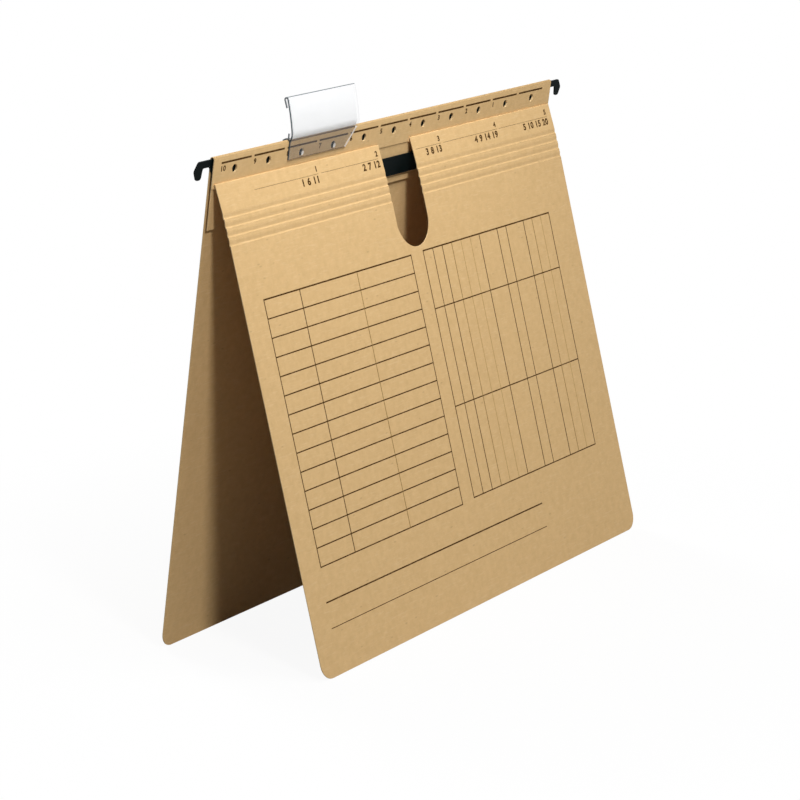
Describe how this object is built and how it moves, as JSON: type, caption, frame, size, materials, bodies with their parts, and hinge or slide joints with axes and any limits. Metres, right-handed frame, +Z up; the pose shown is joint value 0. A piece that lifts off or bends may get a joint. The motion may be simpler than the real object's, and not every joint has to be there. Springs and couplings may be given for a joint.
{
  "type": "hanging file folder",
  "caption": "Kraft card hanging file folder on a black hooked rail, with a scored front cover, finger slot, prong fastener on a flap and a clear index tab; stands open as a tent.",
  "frame": {"origin": "on the floor, midway between the feet of the two covers and midway along the rail", "axes": "+X along the rail to the right, -Y towards the front cover, +Z up"},
  "size_m": [0.3446, 0.0968, 0.2706],
  "materials": {
    "kraft_card": "matte",
    "black_lacquered_steel": "satin",
    "tinned_steel": "satin",
    "black_plastic": "satin",
    "clear_plastic": "gloss",
    "white_paper": "matte"
  },
  "bodies": {
    "back": {"back_card": "kraft_card", "rail": "black_lacquered_steel", "flap_hem": "kraft_card", "tab_holder": "clear_plastic"},
    "cover_head": {"cover_head_left": "kraft_card", "cover_head_right": "kraft_card"},
    "score_band_1": {"score_band_1_left": "kraft_card", "score_band_1_right": "kraft_card"},
    "score_band_2": {"score_band_2_left": "kraft_card", "score_band_2_right": "kraft_card"},
    "score_band_3": {"score_band_3_left": "kraft_card", "score_band_3_right": "kraft_card"},
    "front_panel": {"front_panel": "kraft_card"},
    "flap": {"filing_flap": "kraft_card", "prong_strip": "tinned_steel", "cover_bar": "black_plastic"},
    "slider_left": {"slider_left": "black_plastic"},
    "slider_right": {"slider_right": "black_plastic"},
    "label": {"tab_label": "white_paper"}
  },
  "joints": [
    {"name": "cover_fold", "type": "hinge", "parent": "back", "child": "cover_head", "pos_m": [0, 0.01197, 0.23596], "axis": [-1, 0, 0], "range_deg": [-5, 100]},
    {"name": "score_1", "type": "hinge", "parent": "cover_head", "child": "score_band_1", "pos_m": [0, 0.00725, 0.22088], "axis": [-1, 0, 0], "range_deg": [-4, 15]},
    {"name": "score_2", "type": "hinge", "parent": "score_band_1", "child": "score_band_2", "pos_m": [0, 0.006, 0.21667], "axis": [-1, 0, 0], "range_deg": [-4, 15]},
    {"name": "score_3", "type": "hinge", "parent": "score_band_2", "child": "score_band_3", "pos_m": [0, 0.0048, 0.21243], "axis": [-1, 0, 0], "range_deg": [-4, 15]},
    {"name": "score_4", "type": "hinge", "parent": "score_band_3", "child": "front_panel", "pos_m": [0, 0.00368, 0.20818], "axis": [-1, 0, 0], "range_deg": [-4, 15]},
    {"name": "flap_swing", "type": "hinge", "parent": "back", "child": "flap", "pos_m": [0, 0.01358, 0.23497], "axis": [-1, 0, 0], "range_deg": [-2, 6]},
    {"name": "slider_left_slide", "type": "slide", "parent": "flap", "child": "slider_left", "axis": [1, 0, 0], "range_m": [0, 0.008]},
    {"name": "slider_right_slide", "type": "slide", "parent": "flap", "child": "slider_right", "axis": [-1, 0, 0], "range_m": [0, 0.008]},
    {"name": "label_slide", "type": "slide", "parent": "back", "child": "label", "axis": [-1, 0, 0], "range_m": [0, 0.056]}
  ]
}
